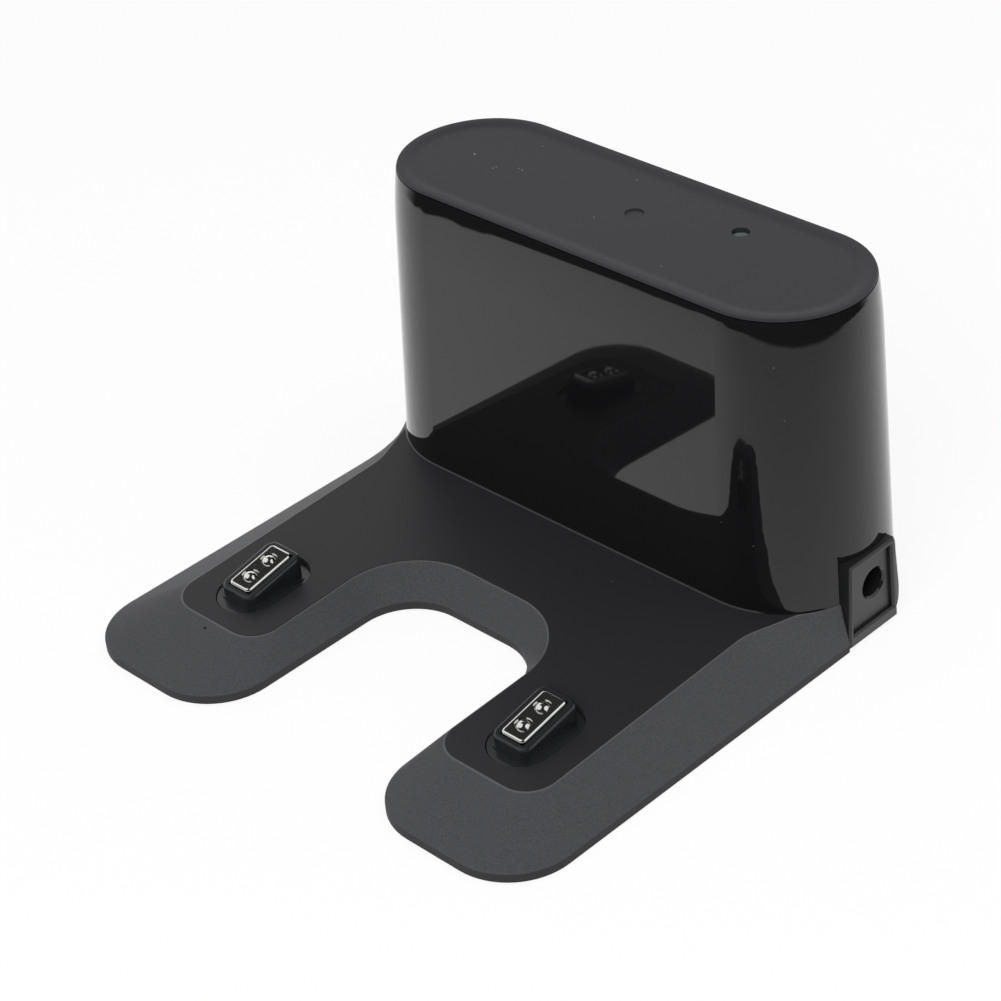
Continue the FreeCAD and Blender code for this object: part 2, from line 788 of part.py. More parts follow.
BASE_SCREWS = [(f"{sign} * {x}", from_front(y)) for sign in (-1, 1)
               for x, y in (("contact_x", "front_boss_from_front"), ("rear_boss_x", "rear_boss_from_front"))]
TOWER_SCREWS = [(f"{sign} * post_x", from_front(y)) for sign in (-1, 1)
                for y in ("front_post_from_front", "rear_post_from_front")]
BRACKET_BACK = "(board_from_front + board_thickness + bracket_stand + bracket_thickness - base_depth / 2)"
BRACKET_SCREWS = [(f"{sign} * bracket_boss_x", f"({BRACKET_BACK} + bracket_foot / 2)") for sign in (-1, 1)]
LUG_SCREWS = [(LUG_X, INLET_HOLE_Y)]
FLOOR_SCREWS = BASE_SCREWS + TOWER_SCREWS + BRACKET_SCREWS + LUG_SCREWS
FEET = [(f"{sign} * foot_x", from_front(y)) for sign in (-1, 1)
        for y in ("front_foot_from_front", "rear_foot_from_front")]


def pilots(name, places):
    """Blind holes for screws in the bosses that stand on the bottom plate."""
    return [cylinder(f"{name}_{index}", "screw_shank / 2 + screw_gap", "pilot_top - plate_thickness",
                     x=x, y=y, z=PLATE_TOP) for index, (x, y) in enumerate(places)]


inlet_hole = cylinder("inlet_hole_through", "inlet_hole / 2", "inlet_depth", x=INLET_BACK_PLANE,
                      y=INLET_HOLE_Y, z=INLET_HOLE_Z, axis=Y_AXIS, angle="90")
inlet_solid = join("inlet_solid", [inlet_body, inlet_lug, inlet_foot])
node(cut("inlet_with_lug", inlet_solid, pilots("lug_pilot", LUG_SCREWS) + [inlet_hole]), "inlet_bezel")


# Contacts

CONTACT_Y = from_front("contact_from_front")
COLLAR_LOW = "(foot_proud + collar_bottom)"
LIP_LOW = "(foot_proud + collar_bottom - stop_gap - head_lip_thickness)"
BLOCK_Y = from_front("block_from_front")
BLOCK_TOP = "(foot_proud + block_front_height)"
PLUNGER_WIDTH = "(pocket_width - 2 * head_gap)"
PLUNGER_LENGTH = "(pocket_length - 2 * head_gap)"
STEM_ALONG_BLOCK = "(contact_from_front - block_from_front)"
CARRIER_AT_STEM = f"(foot_proud + block_front_height + {STEM_ALONG_BLOCK} * tan(block_tilt))"


def on_slope(x, along, above):
    """A place on the contact block's sloping top: along the slope from its front edge, and above it."""
    return dict(x=x, y=f"{BLOCK_Y} + ({along}) * cos(block_tilt) - ({above}) * sin(block_tilt)",
                z=f"{BLOCK_TOP} + ({along}) * sin(block_tilt) + ({above}) * cos(block_tilt)",
                axis=X_AXIS, angle="block_tilt")


def wedge(name, x):
    """The contact block: rounded corners, and a top that rises towards the tower."""
    body = doc.addObject("PartDesign::Body", name)
    block = body.newObject("PartDesign::AdditiveBox", name + "_box")
    bind(block, Length="block_width", Width="block_length",
         Height=f"{BLOCK_TOP} - {LIP_LOW} + block_length * tan(block_tilt) + 1")
    place(block, x=f"{x} - block_width / 2", y=BLOCK_Y, z=LIP_LOW)
    trim = body.newObject("PartDesign::SubtractiveBox", name + "_trim")
    bind(trim, Length="2 * block_width", Width="2 * block_length", Height="block_length")
    place(trim, **on_slope(f"{x} - block_width", "-block_length / 2", "0"))
    doc.recompute()
    corners = edge_names(trim.Shape, lambda edge: spread(edge, "x") + spread(edge, "y") < 1e-4)
    rounded = dress(body, "Fillet", trim, corners, "block_corner")
    top = max(rounded.Shape.Faces, key=lambda face: face.CenterOfMass.z)
    edges = edge_names(rounded.Shape, lambda edge: any(edge.isSame(other) for other in top.Edges))
    dress(body, "Fillet", rounded, edges, "block_round")
    return body


def block_foot(name, x):
    """The low step round the block's foot."""
    body = doc.addObject("PartDesign::Body", name)
    slab = body.newObject("PartDesign::AdditiveBox", name + "_slab")
    bind(slab, Length="block_width + 2 * block_step", Width="block_length + 2 * block_step",
         Height=f"foot_proud + head_top + block_step - {LIP_LOW}")
    place(slab, x=f"{x} - block_width / 2 - block_step", y=f"{BLOCK_Y} - block_step", z=LIP_LOW)
    doc.recompute()
    corners = edge_names(slab.Shape, lambda edge: spread(edge, "x") + spread(edge, "y") < 1e-4)
    dress(body, "Fillet", slab, corners, "block_corner")
    return body


def contact_plate(name):
    """The metal plate, lying flat: rounded corners and edges, and two domes in shallow dishes."""
    body = doc.addObject("PartDesign::Body", name)
    slab = body.newObject("PartDesign::AdditiveBox", name + "_slab")
    bind(slab, Length="plate_width", Width="plate_length", Height="plate_depth + plate_proud")
    place(slab, x="-plate_width / 2", z="-plate_depth")
    doc.recompute()
    corners = edge_names(slab.Shape, lambda edge: spread(edge, "x") + spread(edge, "y") < 1e-4)
    rounded = dress(body, "Fillet", slab, corners, "plate_corner")
    top = max(rounded.Shape.Faces, key=lambda face: face.CenterOfMass.z)
    edges = edge_names(rounded.Shape, lambda edge: any(edge.isSame(other) for other in top.Edges))
    dress(body, "Fillet", rounded, edges, "plate_round")
    ball = "((dome_diameter ^ 2 / 4 + dome_height ^ 2) / (2 * dome_height))"
    for index in range(2):
        along = f"dome_start + {index} * dome_spacing"
        sunk = body.newObject("PartDesign::SubtractiveCylinder", f"{name}_dish_{index}")
        bind(sunk, Radius="dish_diameter / 2", Height="dish_depth")
        place(sunk, y=along, z="plate_proud - dish_depth")
        dome = body.newObject("PartDesign::AdditiveSphere", f"{name}_dome_{index}")
        bind(dome, Radius=ball, Angle1=f"asin(1 - dome_height / {ball})")
        place(dome, y=along, z=f"plate_proud - dish_depth + dome_height - {ball}")
    doc.recompute()
    return body


def coil(x):
    """A spring of square wire between the terminal and the rivet."""
    wire = size("spring_wire")
    low = size("foot_proud") + size("plate_thickness")
    high = size("foot_proud") + size("spring_bore_top") - size("rivet_thickness")
    radius = (size("spring_diameter") - wire) / 2
    rise = high - low - wire
    path = Part.makeHelix(rise / size("spring_turns"), rise, radius)
    corners = [Vector(radius + across * wire / 2, 0, up * wire / 2)
               for across, up in ((-1, -1), (1, -1), (1, 1), (-1, 1), (-1, -1))]
    shape = Part.Wire(path).makePipeShell([Part.makePolygon(corners)], True, True)
    shape.translate(Vector(x, size("contact_from_front") - size("base_depth") / 2, low + wire / 2))
    return shape


def lead(points):
    """A round lead along straight runs with mitred corners."""
    corners = [Vector(*point) for point in points]
    section = Part.Wire(Part.makeCircle(size("lead_diameter") / 2, corners[0], corners[1] - corners[0]))
    return Part.makePolygon(corners).makePipeShell([section], True, False, 1)


pockets = []
collars = []
terminal_seats = []
for side, sign in SIDES:
    x = f"({sign} * contact_x)"
    name = f"{side}_contact"
    pockets.append(stadium_prism(f"{name}_pocket", "pocket_width", "pocket_length",
                                 "plateau_height + collar_top", x, CONTACT_Y, f"{LIP_LOW}"))
    collars.append(stadium_prism(f"{name}_collar", "pocket_width + 2 * collar_wall",
                                 "pocket_length + 2 * collar_wall", "collar_top - collar_bottom",
                                 x, CONTACT_Y, COLLAR_LOW))
    plunger = stadium_prism(f"{name}_plunger", PLUNGER_WIDTH, PLUNGER_LENGTH,
                            f"foot_proud + head_top - {LIP_LOW}", x, CONTACT_Y, LIP_LOW)
    lip = stadium_prism(f"{name}_lip", f"{PLUNGER_WIDTH} + 2 * head_lip", f"{PLUNGER_LENGTH} + 2 * head_lip",
                        "head_lip_thickness", x, CONTACT_Y, LIP_LOW)
    plate_seat = box(f"{name}_plate_seat", "plate_width + 2 * plate_gap", "plate_length + 2 * plate_gap",
                     "plate_depth + block_width", **on_slope(f"{x} - plate_width / 2 - plate_gap",
                                                             "plate_start - plate_gap", "-plate_depth"))
    spring_bore = cylinder(f"{name}_spring_bore", "spring_bore / 2",
                           f"foot_proud + spring_bore_top - {LIP_LOW}", x=x, y=CONTACT_Y, z=LIP_LOW)
    stem_hole = cylinder(f"{name}_stem_hole", "stem_diameter / 2 + stem_gap",
                         f"{CARRIER_AT_STEM} - {LIP_LOW}", x=x, y=CONTACT_Y, z=LIP_LOW)
    block = wedge(f"{name}_block", x)
    solid = join(f"{name}_head_solid", [plunger, lip, block, block_foot(f"{name}_step", x)])
    node(cut(f"{name}_carrier", solid, [plate_seat, spring_bore, stem_hole]), f"{name}_head")

    plate = place(contact_plate(f"{name}_plate_body"), **on_slope(x, "plate_start", "0"))
    rivet = cylinder(f"{name}_rivet", "rivet_diameter / 2", "rivet_thickness", x=x, y=CONTACT_Y,
                     z="foot_proud + spring_bore_top - rivet_thickness")
    stem = cylinder(f"{name}_stem", "stem_diameter / 2",
                    f"{CARRIER_AT_STEM} - foot_proud - spring_bore_top - plate_depth / 2",
                    x=x, y=CONTACT_Y, z="foot_proud + spring_bore_top")
    node(join(f"{name}_plate_riveted", [plate, stem, rivet]), f"{name}_plate")
    node(feature(f"{name}_coil", coil(sign * size("contact_x"))), f"{name}_spring")

    low = f"({PLATE_TOP} - terminal_thickness)"
    disc = cylinder(f"{name}_terminal_disc", "terminal_diameter / 2", "terminal_thickness",
                    x=x, y=CONTACT_Y, z=low)
    tail = box(f"{name}_terminal_tail", "terminal_tail_width", "terminal_tail", "terminal_thickness",
               x=f"{x} - terminal_tail_width / 2", y=CONTACT_Y, z=low)
    tab = box(f"{name}_terminal_tab", "terminal_tail_width", "terminal_thickness", "terminal_tab",
              x=f"{x} - terminal_tail_width / 2",
              y=f"{CONTACT_Y} + terminal_tail - terminal_thickness", z=low)
    node(join(f"{name}_terminal_strip", [disc, tail, tab]), f"{name}_terminal")
    terminal_seats += [
        cylinder(f"{name}_disc_seat", "terminal_diameter / 2 + terminal_gap", "terminal_thickness",
                 x=x, y=CONTACT_Y, z=low),
        box(f"{name}_tail_seat", "terminal_tail_width + 2 * terminal_gap", "terminal_tail + terminal_gap",
            "terminal_thickness", x=f"{x} - terminal_tail_width / 2 - terminal_gap", y=CONTACT_Y, z=low)]

    front = -size("base_depth") / 2
    across = sign * size("contact_x")
    run_y = front + size("lead_from_front")
    low_z = size("foot_proud") + size("plate_thickness") + size("lead_lift")
    high_z = size("foot_proud") + size("contact_lead_height")
    plug_x = sign * (size("board_width") / 2 - size("connector_inset"))
    node(feature(f"{name}_wire", lead([
        (across, front + size("contact_from_front") + size("terminal_tail"), low_z), (across, run_y, low_z),
        (across, run_y, high_z), (plug_x, run_y, high_z)])), f"{name}_lead")


# Base shell and bottom plate

bosses = [cylinder(f"base_boss_{index}", "boss_diameter / 2", "tower_height", x=x, y=y, z=PLATE_TOP)
          for index, (x, y) in enumerate(BASE_SCREWS)]
inner_walls = common("base_inner_walls", join("base_inner_solids", bosses + collars), base_outer)
shell_solid = join("base_shell_solid", [cut("base_hollowed", base_outer, [base_room]), inner_walls])
node(cut("base_shell", shell_solid, pockets + [tower_opening, notch] + pilots("base_pilot", BASE_SCREWS)),
     "base_top_shell")

plate_cuts = terminal_seats + [notch]
for index, (x, y) in enumerate(FLOOR_SCREWS):
    plate_cuts.append(cylinder(f"plate_hole_{index}", "screw_shank / 2 + screw_gap", "plate_thickness",
                               x=x, y=y, z=LOW))
    plate_cuts.append(cylinder(f"plate_counterbore_{index}", "screw_head / 2 + screw_gap", "screw_seat",
                               x=x, y=y, z=LOW))
for index, (x, y) in enumerate(FEET):
    plate_cuts.append(cylinder(f"plate_foot_recess_{index}", "foot_diameter / 2 + foot_gap", "foot_recess",
                               x=x, y=y, z=LOW))
node(cut("bottom_plate", bottom_blank, plate_cuts), "base_bottom_plate")

node(group("feet", [cylinder(f"foot_{index}", "foot_diameter / 2", "foot_proud + foot_recess", x=x, y=y)
                    for index, (x, y) in enumerate(FEET)]), "rubber_feet")
SCREW_SEAT = "(foot_proud + screw_seat)"
node(group("floor_screws", [screw(f"floor_screw_{index}", x, y, SCREW_SEAT)
                            for index, (x, y) in enumerate(BASE_SCREWS + BRACKET_SCREWS + LUG_SCREWS)]),
     "base_screws")
node(group("post_screws", [screw(f"post_screw_{index}", x, y, SCREW_SEAT)
                           for index, (x, y) in enumerate(TOWER_SCREWS)]), "tower_screws")


# Tower shell with its posts

posts = [cylinder(f"tower_post_{index}", "post_diameter / 2", "post_height - plate_thickness",
                  x=x, y=y, z=PLATE_TOP)
         for index, (x, y) in enumerate(TOWER_SCREWS)]
ribs = []
for index, (x, y) in enumerate(TOWER_SCREWS):
    foot_z = f"({PLANE_AT_FRONT} + (tower_from_front + tower_foot_radius) * tan(plateau_slope) + rib_lift)"
    front = y if "rear" in y else f"{y} - tower_foot_radius"
    ribs.append(box(f"tower_rib_{index}", "rib_thickness", "tower_foot_radius",
                    f"post_height + foot_proud - {foot_z}",
                    x=f"{x} - rib_thickness / 2", y=front, z=foot_z))
inner_ribs = common("tower_inner_ribs", join("tower_rib_solids", ribs), tower_outer)
tube = cut("tower_tube", tower_outer, [tower_room])
node(cut("tower_body", join("tower_solid", [tube, inner_ribs] + posts),
         [notch] + pilots("tower_pilot", TOWER_SCREWS)), "tower_shell")


# Lid, status light and its board

FLAT = "(foot_proud + tower_height - rim_depth)"
UNDER = f"({FLAT} - lid_plate)"
LIGHT_Y = from_front("light_from_front")
STANDS = [(f"light_x {sign} stand_spacing / 2", LIGHT_Y) for sign in ("-", "+")]
stands = [cylinder(f"lid_stand_{index}", "stand_diameter / 2", "indicator_board_drop", x=x, y=y,
                   z=f"{UNDER} - indicator_board_drop") for index, (x, y) in enumerate(STANDS)]
lid_cuts = [cylinder("light_hole_tool", "light_hole / 2", "lid_plate", x="light_x", y=LIGHT_Y, z=UNDER),
            cylinder("mark_recess", "mark_diameter / 2", "mark_depth", x="mark_x",
                     y=from_front("mark_from_front"), z=f"{FLAT} - mark_depth")]
lid_cuts += [cylinder(f"stand_pilot_{index}", "screw_shank / 2 + screw_gap", "screw_length", x=x, y=y,
                      z=f"{UNDER} - indicator_board_drop") for index, (x, y) in enumerate(STANDS)]
node(cut("lid", join("lid_solid", [lid_form] + stands), lid_cuts), "top_cap")

lens_rod = cylinder("lens_rod", "light_hole / 2 - lens_gap", "lid_plate - lens_sink + lens_collar",
                    x="light_x", y=LIGHT_Y, z=f"{UNDER} - lens_collar")
lens_collar = cylinder("lens_flange", "lens_collar_diameter / 2", "lens_collar", x="light_x", y=LIGHT_Y,
                       z=f"{UNDER} - lens_collar")
node(join("lens", [lens_rod, lens_collar]), "status_lens")

BOARD_LOW = f"({UNDER} - indicator_board_drop - board_thickness)"
small_board = box("small_board", "indicator_board_length", "indicator_board_width", "board_thickness",
                  x="light_x - indicator_board_length / 2", y=f"{LIGHT_Y} - indicator_board_width / 2",
                  z=BOARD_LOW)
small_holes = [cylinder(f"small_board_hole_{index}", "screw_shank / 2 + screw_gap", "board_thickness",
                        x=x, y=y, z=BOARD_LOW) for index, (x, y) in enumerate(STANDS)]
node(cut("small_board_drilled", small_board, small_holes), "indicator_board")
led_base = cylinder("led_base", "led_diameter / 2", "led_height - led_diameter / 2", x="light_x", y=LIGHT_Y,
                    z=f"{UNDER} - indicator_board_drop")
led_tip = cone("led_tip", "led_diameter / 2", "led_diameter / 4", "led_diameter / 2", x="light_x", y=LIGHT_Y,
               z=f"{UNDER} - indicator_board_drop + led_height - led_diameter / 2")
node(join("led", [led_base, led_tip]), "status_led")


# Main board, bracket and infrared emitters

BOARD_Y = from_front("board_from_front")
BOARD_Z = "(foot_proud + board_lift)"
BOARD_HOLES = [(f"{sign} * (board_width / 2 - board_hole_inset)", f"({BOARD_Z} + {height})") for sign in (-1, 1)
               for height in ("board_hole_inset", "board_height - board_hole_inset")]


def along_y(name, radius, length, x, y, z):
    """A cylinder that runs towards +Y from a point."""
    return cylinder(name, radius, length, x=x, y=y, z=z, axis=X_AXIS, angle="-90")


board = box("board", "board_width", "board_thickness", "board_height",
            x="-board_width / 2", y=BOARD_Y, z=BOARD_Z)
plugs = []
for side, sign in SIDES:
    height = "power_connector_height" if sign > 0 else "connector_height"
    outer = "board_width / 2 - connector_inset"
    plugs.append(box(f"{side}_connector", "connector_width", "connector_depth", height,
                     x=f"{outer} - connector_width" if sign > 0 else f"-({outer})",
                     y=f"{BOARD_Y} - connector_depth", z="foot_proud + connector_low"))
board_holes = [along_y(f"board_hole_{index}", "screw_shank / 2 + screw_gap", "board_thickness", x, BOARD_Y, z)
               for index, (x, z) in enumerate(BOARD_HOLES)]
node(cut("board_drilled", join("board_solid", [board] + plugs), board_holes), "main_board")

STAND_Y = f"({BOARD_Y} + board_thickness)"
upright = box("bracket_upright", "board_width", "bracket_thickness", f"{BOARD_Z} + board_height - {PLATE_TOP}",
              x="-board_width / 2", y=f"{STAND_Y} + bracket_stand", z=PLATE_TOP)
floor = box("bracket_floor", "board_width", "bracket_foot", "bracket_thickness",
            x="-board_width / 2", y=BRACKET_BACK, z=PLATE_TOP)
bracket_bosses = [cylinder(f"bracket_boss_{index}", "boss_diameter / 2", "bracket_boss_height",
                           x=x, y=y, z=PLATE_TOP)
                  for index, (x, y) in enumerate(BRACKET_SCREWS)]
bracket_stands = [along_y(f"bracket_stand_{index}", "stand_diameter / 2", "bracket_stand", x, STAND_Y, z)
                  for index, (x, z) in enumerate(BOARD_HOLES)]
stand_pilots = [along_y(f"bracket_pilot_{index}", "screw_shank / 2 + screw_gap",
                        "screw_length - board_thickness + screw_gap",
                        x, STAND_Y, z) for index, (x, z) in enumerate(BOARD_HOLES)]
node(cut("bracket", join("bracket_solid", [upright, floor] + bracket_bosses + bracket_stands),
         stand_pilots + pilots("bracket_floor_pilot", BRACKET_SCREWS)), "board_bracket")


def board_screw(name, x, z):
    """The same screw, driven towards +Y through the board."""
    item = screw(name, x, BOARD_Y, z)
    return place(item, x=x, y=BOARD_Y, z=z, axis=X_AXIS, angle="-90")


stand_screws = [screw(f"stand_screw_{index}", x, y, BOARD_LOW) for index, (x, y) in enumerate(STANDS)]
node(group("circuit_screws", stand_screws + [board_screw(f"board_screw_{index}", x, z)
                                             for index, (x, z) in enumerate(BOARD_HOLES)]), "board_screws")

EMITTER_Z = "(foot_proud + emitter_height)"
emitters = []
shade_bores = []
for index in range(3):
    x = f"({index - 1} * emitter_pitch)"
    nose_y = f"{BOARD_Y} - emitter_length + emitter_nose"
    barrel = along_y(f"emitter_barrel_{index}", "emitter_diameter / 2", "emitter_length - emitter_nose",
                     x, nose_y, EMITTER_Z)
    nose = cone(f"emitter_nose_{index}", "emitter_diameter / 2", "emitter_diameter / 4", "emitter_nose",
                x=x, y=nose_y, z=EMITTER_Z, axis=X_AXIS, angle="90")
    emitters.append(join(f"emitter_{index}", [barrel, nose]))
    shade_bores.append(along_y(f"shade_bore_{index}", "emitter_diameter / 2 + emitter_gap", "shade_depth",
                               x, f"{BOARD_Y} - shade_depth", EMITTER_Z))
node(group("emitters", emitters), "infrared_emitters")
shade = box("shade", "shade_length", "shade_depth", "shade_height", x="-shade_length / 2",
            y=f"{BOARD_Y} - shade_depth", z=f"{EMITTER_Z} - shade_height / 2")
node(cut("shade_bored", shade, shade_bores), "emitter_shade")

jack_back = size("base_width") / 2 - size("inlet_depth") - size("jack_length")
jack_y = size("inlet_hole_from_front") - size("base_depth") / 2
jack_z = size("foot_proud") + size("inlet_hole_height")
plug_x = size("board_width") / 2 - size("connector_inset")
gap = size("power_lead_spacing")
power_leads = []
for index, shift in enumerate((-0.5, 0.5)):
    run_y = size("lead_from_front") - size("base_depth") / 2 + shift * gap
    start_z = jack_z + shift * gap
    end_z = size("foot_proud") + size("power_lead_height") + (shift + 0.5) * gap
    x = size("power_lead_x")
    power_leads.append(feature(f"power_lead_{index}", lead([
        (jack_back, jack_y, start_z), (x, jack_y, start_z), (x, run_y, start_z), (x, run_y, end_z),
        (plug_x, run_y, end_z)])))
node(group("power_leads", power_leads), "inlet_leads")


doc.recompute()
for item in doc.Objects:
    if "Invalid" in item.State or "Error" in item.State:
        raise RuntimeError(f"{item.Name} did not build: {item.State}")
for name, item in nodes.items():
    if item.Shape.isNull() or not item.Shape.isValid():
        raise RuntimeError(f"{name} has no valid shape")
os.makedirs("parts", exist_ok=True)
for name, item in nodes.items():
    item.Shape.exportStep(f"parts/{name}.step")
    print(f"{name}: {len(item.Shape.Solids)} solids, {item.Shape.Volume:.0f} mm3")
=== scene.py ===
# %% [markdown]
# # Charging dock of a robot vacuum
# The dock is a low horseshoe ramp that the robot drives onto, with two sprung contact heads on its prongs
# and a tall glossy tower behind. All its forms come ready from the CAD model, in metres, with X to the
# right, Y from the prongs back to the tower and Z up. What is left for Blender is how each surface looks.

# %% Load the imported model
import math
import bpy
import bmesh
from mathutils import Matrix, Vector


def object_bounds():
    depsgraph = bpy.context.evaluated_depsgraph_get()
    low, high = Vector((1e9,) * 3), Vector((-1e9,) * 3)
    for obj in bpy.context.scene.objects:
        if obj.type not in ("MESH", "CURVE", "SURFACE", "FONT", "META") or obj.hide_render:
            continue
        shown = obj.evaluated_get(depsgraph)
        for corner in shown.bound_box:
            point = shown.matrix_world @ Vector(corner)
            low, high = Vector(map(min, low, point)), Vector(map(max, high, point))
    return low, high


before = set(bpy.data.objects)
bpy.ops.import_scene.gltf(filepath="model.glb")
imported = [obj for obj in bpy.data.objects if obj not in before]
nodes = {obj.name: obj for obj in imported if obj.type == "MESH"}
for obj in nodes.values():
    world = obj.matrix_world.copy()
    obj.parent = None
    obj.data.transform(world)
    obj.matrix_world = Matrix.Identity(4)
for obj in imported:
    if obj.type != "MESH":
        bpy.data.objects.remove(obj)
cad_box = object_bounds()
print(len(nodes), "CAD pieces, box", [tuple(round(v, 4) for v in corner) for corner in cad_box])

# %% [markdown]
# ## Camera
# The photograph looks down on the dock's right front corner through a long lens. Its place was found by
# fitting the edges of the base and the tower, so it is given as an azimuth, an elevation and a small roll
# round the line of sight, and the lens as a focal length for a 36 mm sensor.

# %% Camera
CAMERA_PLACE = Vector((0.41021, -0.38638, 0.40981))
AZIMUTH, ELEVATION, ROLL = (math.radians(angle) for angle in (46.710, 33.722, -4.737))
SENSOR_WIDTH_MM, FOCAL_LENGTH_MM = 36.0, 101.63
NEAREST_SEEN = 0.01

backwards = Vector((math.sin(AZIMUTH) * math.cos(ELEVATION), -math.cos(AZIMUTH) * math.cos(ELEVATION),
                    math.sin(ELEVATION)))
level_right = Vector((math.cos(AZIMUTH), math.sin(AZIMUTH), 0.0))
level_up = backwards.cross(level_right)
right = math.cos(ROLL) * level_right + math.sin(ROLL) * level_up
up = math.cos(ROLL) * level_up - math.sin(ROLL) * level_right
turn = Matrix((right, up, backwards)).transposed().to_4x4()

camera = bpy.data.objects.new("camera", bpy.data.cameras.new("camera"))
camera.data.sensor_width = SENSOR_WIDTH_MM
camera.data.lens = FOCAL_LENGTH_MM
camera.data.clip_start = NEAREST_SEEN
camera.matrix_world = Matrix.Translation(CAMERA_PLACE) @ turn
bpy.context.scene.collection.objects.link(camera)
bpy.context.scene.camera = camera
print("camera", round(CAMERA_PLACE.length, 3), "m from the origin, lens", FOCAL_LENGTH_MM, "mm")

# %% [markdown]
# ## Writing shaders as sums
# A material in Blender is a graph of nodes. Long graphs are easier to read as arithmetic, so this small
# class wraps one output socket and turns `a * b + c` into Math nodes. Every other kind of node comes from
# its one method, `node`, which sets the node's own options first and then its input values or links.


# %% Shader wires
class Wire:
    """One value in a material's node tree."""

    def __init__(self, tree, socket=None):
        self.tree = tree
        self.socket = socket

    def node(self, kind, settings=None, inputs=None, output=0):
        made = self.tree.nodes.new(kind)
        for name, value in (settings or {}).items():
            setattr(made, name, value)
        for name, value in (inputs or {}).items():
            if isinstance(value, Wire):
                self.tree.links.new(value.socket, made.inputs[name])
            else:
                made.inputs[name].default_value = value
        return Wire(self.tree, made.outputs[output])

    def math(self, operation, *values):
        return self.node("ShaderNodeMath", {"operation": operation}, dict(enumerate(values)))

    def __add__(self, other):
        return self.math("ADD", self, other)

    def __radd__(self, other):
        return self.math("ADD", other, self)

    def __sub__(self, other):
        return self.math("SUBTRACT", self, other)

    def __rsub__(self, other):
        return self.math("SUBTRACT", other, self)

    def __mul__(self, other):
        return self.math("MULTIPLY", self, other)


# %% [markdown]
# ## Starting and fitting a finish
# Each finish on the dock, such as a moulded plastic or a plating, is one material. It starts as a
# Principled shader with a few fixed constants, takes wires for what varies over the surface, and is put
# on the pieces that share it. Its pattern follows Object coordinates, so it stays on a piece that moves.


# %% Finish helpers
def start_finish(name, specular=0.5, metallic=0.0, transmission=0.0, ior=1.5):
    """A new material: its Principled shader and a wire that carries Object coordinates."""
    material = bpy.data.materials.new(name)
    material.use_nodes = True
    shader = material.node_tree.nodes["Principled BSDF"]
    shader.inputs["Specular IOR Level"].default_value = specular
    shader.inputs["Metallic"].default_value = metallic
    shader.inputs["Transmission Weight"].default_value = transmission
    shader.inputs["IOR"].default_value = ior
    place = Wire(material.node_tree).node("ShaderNodeTexCoord", output="Object")
    return material, shader, place


def plug(shader, **wires):
    """Links wires to the shader's inputs, named with underscores."""
    for name, wire in wires.items():
        wire.tree.links.new(wire.socket, shader.inputs[name.replace("_", " ").title()])


def dress(finish, *names):
    """Puts a finish on CAD pieces."""
    for name in names:
        nodes[name].data.materials.clear()
        nodes[name].data.materials.append(finish)
    print(finish.name, "on", ", ".join(names))


# %% [markdown]
# ## Grain, borders and specks
# Moulded grain, wear and dust all come from a handful of patterns: a noise for what is uneven all over, a
# soft step for the border between two finishes, and a small round spot for a speck of dust. A bump then
# turns a pattern into relief. All scales are in cells per metre, and all lengths in metres.


# %% Pattern helpers
def noise(place, scale, detail=2.0, roughness=0.5):
    return place.node("ShaderNodeTexNoise", {},
                      {"Vector": place, "Scale": scale, "Detail": detail, "Roughness": roughness})


def step(value, low, high):
    """0 below low, 1 above high, and smooth between."""
    return value.node("ShaderNodeMapRange", {"interpolation_type": "SMOOTHSTEP", "clamp": True},
                      {"Value": value, "From Min": low, "From Max": high, "To Min": 0.0, "To Max": 1.0})


def between(factor, dark, light):
    """A colour between two, by a factor: inputs 6, 7 and 0 of the Mix node."""
    dark, light = (colour if isinstance(colour, Wire) else (*colour, 1) for colour in (dark, light))
    return factor.node("ShaderNodeMix", {"data_type": "RGBA"}, {0: factor, 6: dark, 7: light}, 2)


def bump(height, distance, strength):
    return height.node("ShaderNodeBump", {}, {"Height": height, "Distance": distance, "Strength": strength})


def axes(place):
    """The three coordinates of a place."""
    split = place.tree.nodes.new("ShaderNodeSeparateXYZ")
    place.tree.links.new(place.socket, split.inputs[0])
    return [Wire(place.tree, split.outputs[index]) for index in range(3)]


def measure(place, operation, other):
    return place.node("ShaderNodeVectorMath", {"operation": operation}, {0: place, 1: other}, "Value")


def distance(place, centre):
    return measure(place, "DISTANCE", centre)


def along(place, direction):
    """How far a place lies along a direction."""
    return measure(place, "DOT_PRODUCT", direction)


def spot(place, centre, radius):
    """1 inside a small round spot and 0 outside, with a soft rim."""
    return 1 - step(distance(place, centre), radius * 0.5, radius)


def dust(place, specks):
    """1 on each speck of dust, given as its centre and radius."""
    return sum(spot(place, centre, radius) for centre, radius in specks)
